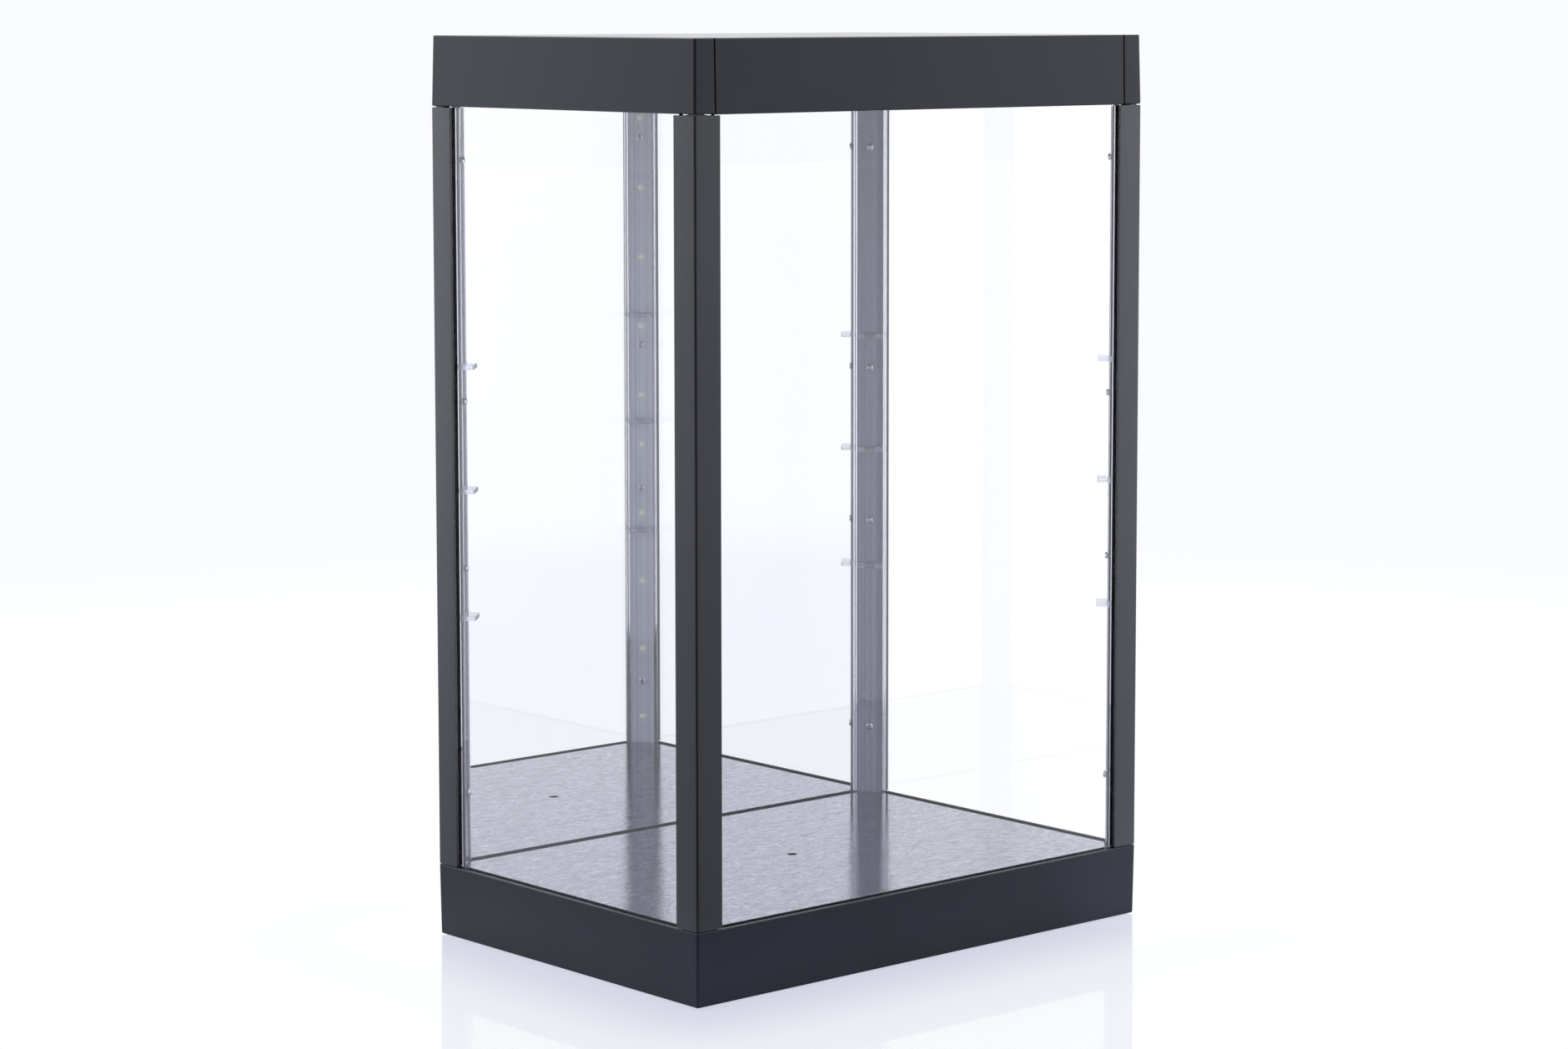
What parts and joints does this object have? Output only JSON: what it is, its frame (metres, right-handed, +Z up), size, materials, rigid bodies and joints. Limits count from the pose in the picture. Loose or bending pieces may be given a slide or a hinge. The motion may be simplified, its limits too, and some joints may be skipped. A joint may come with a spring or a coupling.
{
  "type": "figure display case",
  "caption": "Tall clear display case with a black plinth and lid on corner posts, a mirrored back, a front panel that slides up, and light strips in the front posts.",
  "frame": {"origin": "under the middle of the case, on the plane that its feet stand on", "axes": "+Z up, front (the sliding panel) towards -Y, mirrored back towards +Y, +X to the right seen from the front"},
  "size_m": [0.254, 0.175, 0.39],
  "materials": {
    "black_plastic": "satin",
    "clear_acrylic": "clear",
    "mirror_sheet": "mirror",
    "silver_laminate": "brushed",
    "rubber": "matte",
    "steel": "plain",
    "white_board": "satin",
    "green_board": "satin",
    "wire_sleeve": "satin"
  },
  "bodies": {
    "base": {"plinth": "black_plastic", "bottom_plate": "black_plastic", "floor_plate": "silver_laminate", "port_plate": "black_plastic", "driver_board": "green_board", "power_inlet": "black_plastic", "wire_left": "wire_sleeve", "wire_right": "wire_sleeve", "left_panel": "clear_acrylic", "right_panel": "clear_acrylic", "back_mirror": "mirror_sheet", "foot_front_left": "rubber", "post_front_left": "black_plastic", "cover_front_left": "clear_acrylic", "foot_front_right": "rubber", "post_front_right": "black_plastic", "cover_front_right": "clear_acrylic", "foot_rear_left": "rubber", "post_rear_left": "black_plastic", "cover_rear_left": "clear_acrylic", "foot_rear_right": "rubber", "post_rear_right": "black_plastic", "cover_rear_right": "clear_acrylic", "tab_front_left_1": "clear_acrylic", "tab_front_left_2": "clear_acrylic", "tab_front_left_3": "clear_acrylic", "tab_front_right_1": "clear_acrylic", "tab_front_right_2": "clear_acrylic", "tab_front_right_3": "clear_acrylic", "tab_rear_left_1": "clear_acrylic", "tab_rear_left_2": "clear_acrylic", "tab_rear_left_3": "clear_acrylic", "tab_rear_right_1": "clear_acrylic", "tab_rear_right_2": "clear_acrylic", "tab_rear_right_3": "clear_acrylic", "screw_front_left_1": "steel", "screw_front_left_2": "steel", "screw_front_left_3": "steel", "screw_front_left_4": "steel", "screw_front_right_1": "steel", "screw_front_right_2": "steel", "screw_front_right_3": "steel", "screw_front_right_4": "steel", "screw_rear_left_1": "steel", "screw_rear_left_2": "steel", "screw_rear_left_3": "steel", "screw_rear_left_4": "steel", "screw_rear_right_1": "steel", "screw_rear_right_2": "steel", "screw_rear_right_3": "steel", "screw_rear_right_4": "steel", "light_strip_left_lower": "white_board", "light_strip_left_upper": "white_board", "light_strip_right_lower": "white_board", "light_strip_right_upper": "white_board"},
    "door": {"door_panel": "clear_acrylic", "door_fascia": "black_plastic"},
    "lid": {"lid_shell": "black_plastic", "lid_liner": "black_plastic"},
    "power_button": {"power_button": "black_plastic"}
  },
  "joints": [
    {"name": "door_slide", "type": "slide", "parent": "base", "child": "door", "axis": [0, 0, 1], "range_m": [0, 0.36]},
    {"name": "lid_lift", "type": "slide", "parent": "base", "child": "lid", "axis": [0, 0, 1], "range_m": [0, 0.06]},
    {"name": "power_button_press", "type": "slide", "parent": "base", "child": "power_button", "axis": [0, -1, 0], "range_m": [0, 0.0012], "stiffness_N_per_m": 400}
  ]
}
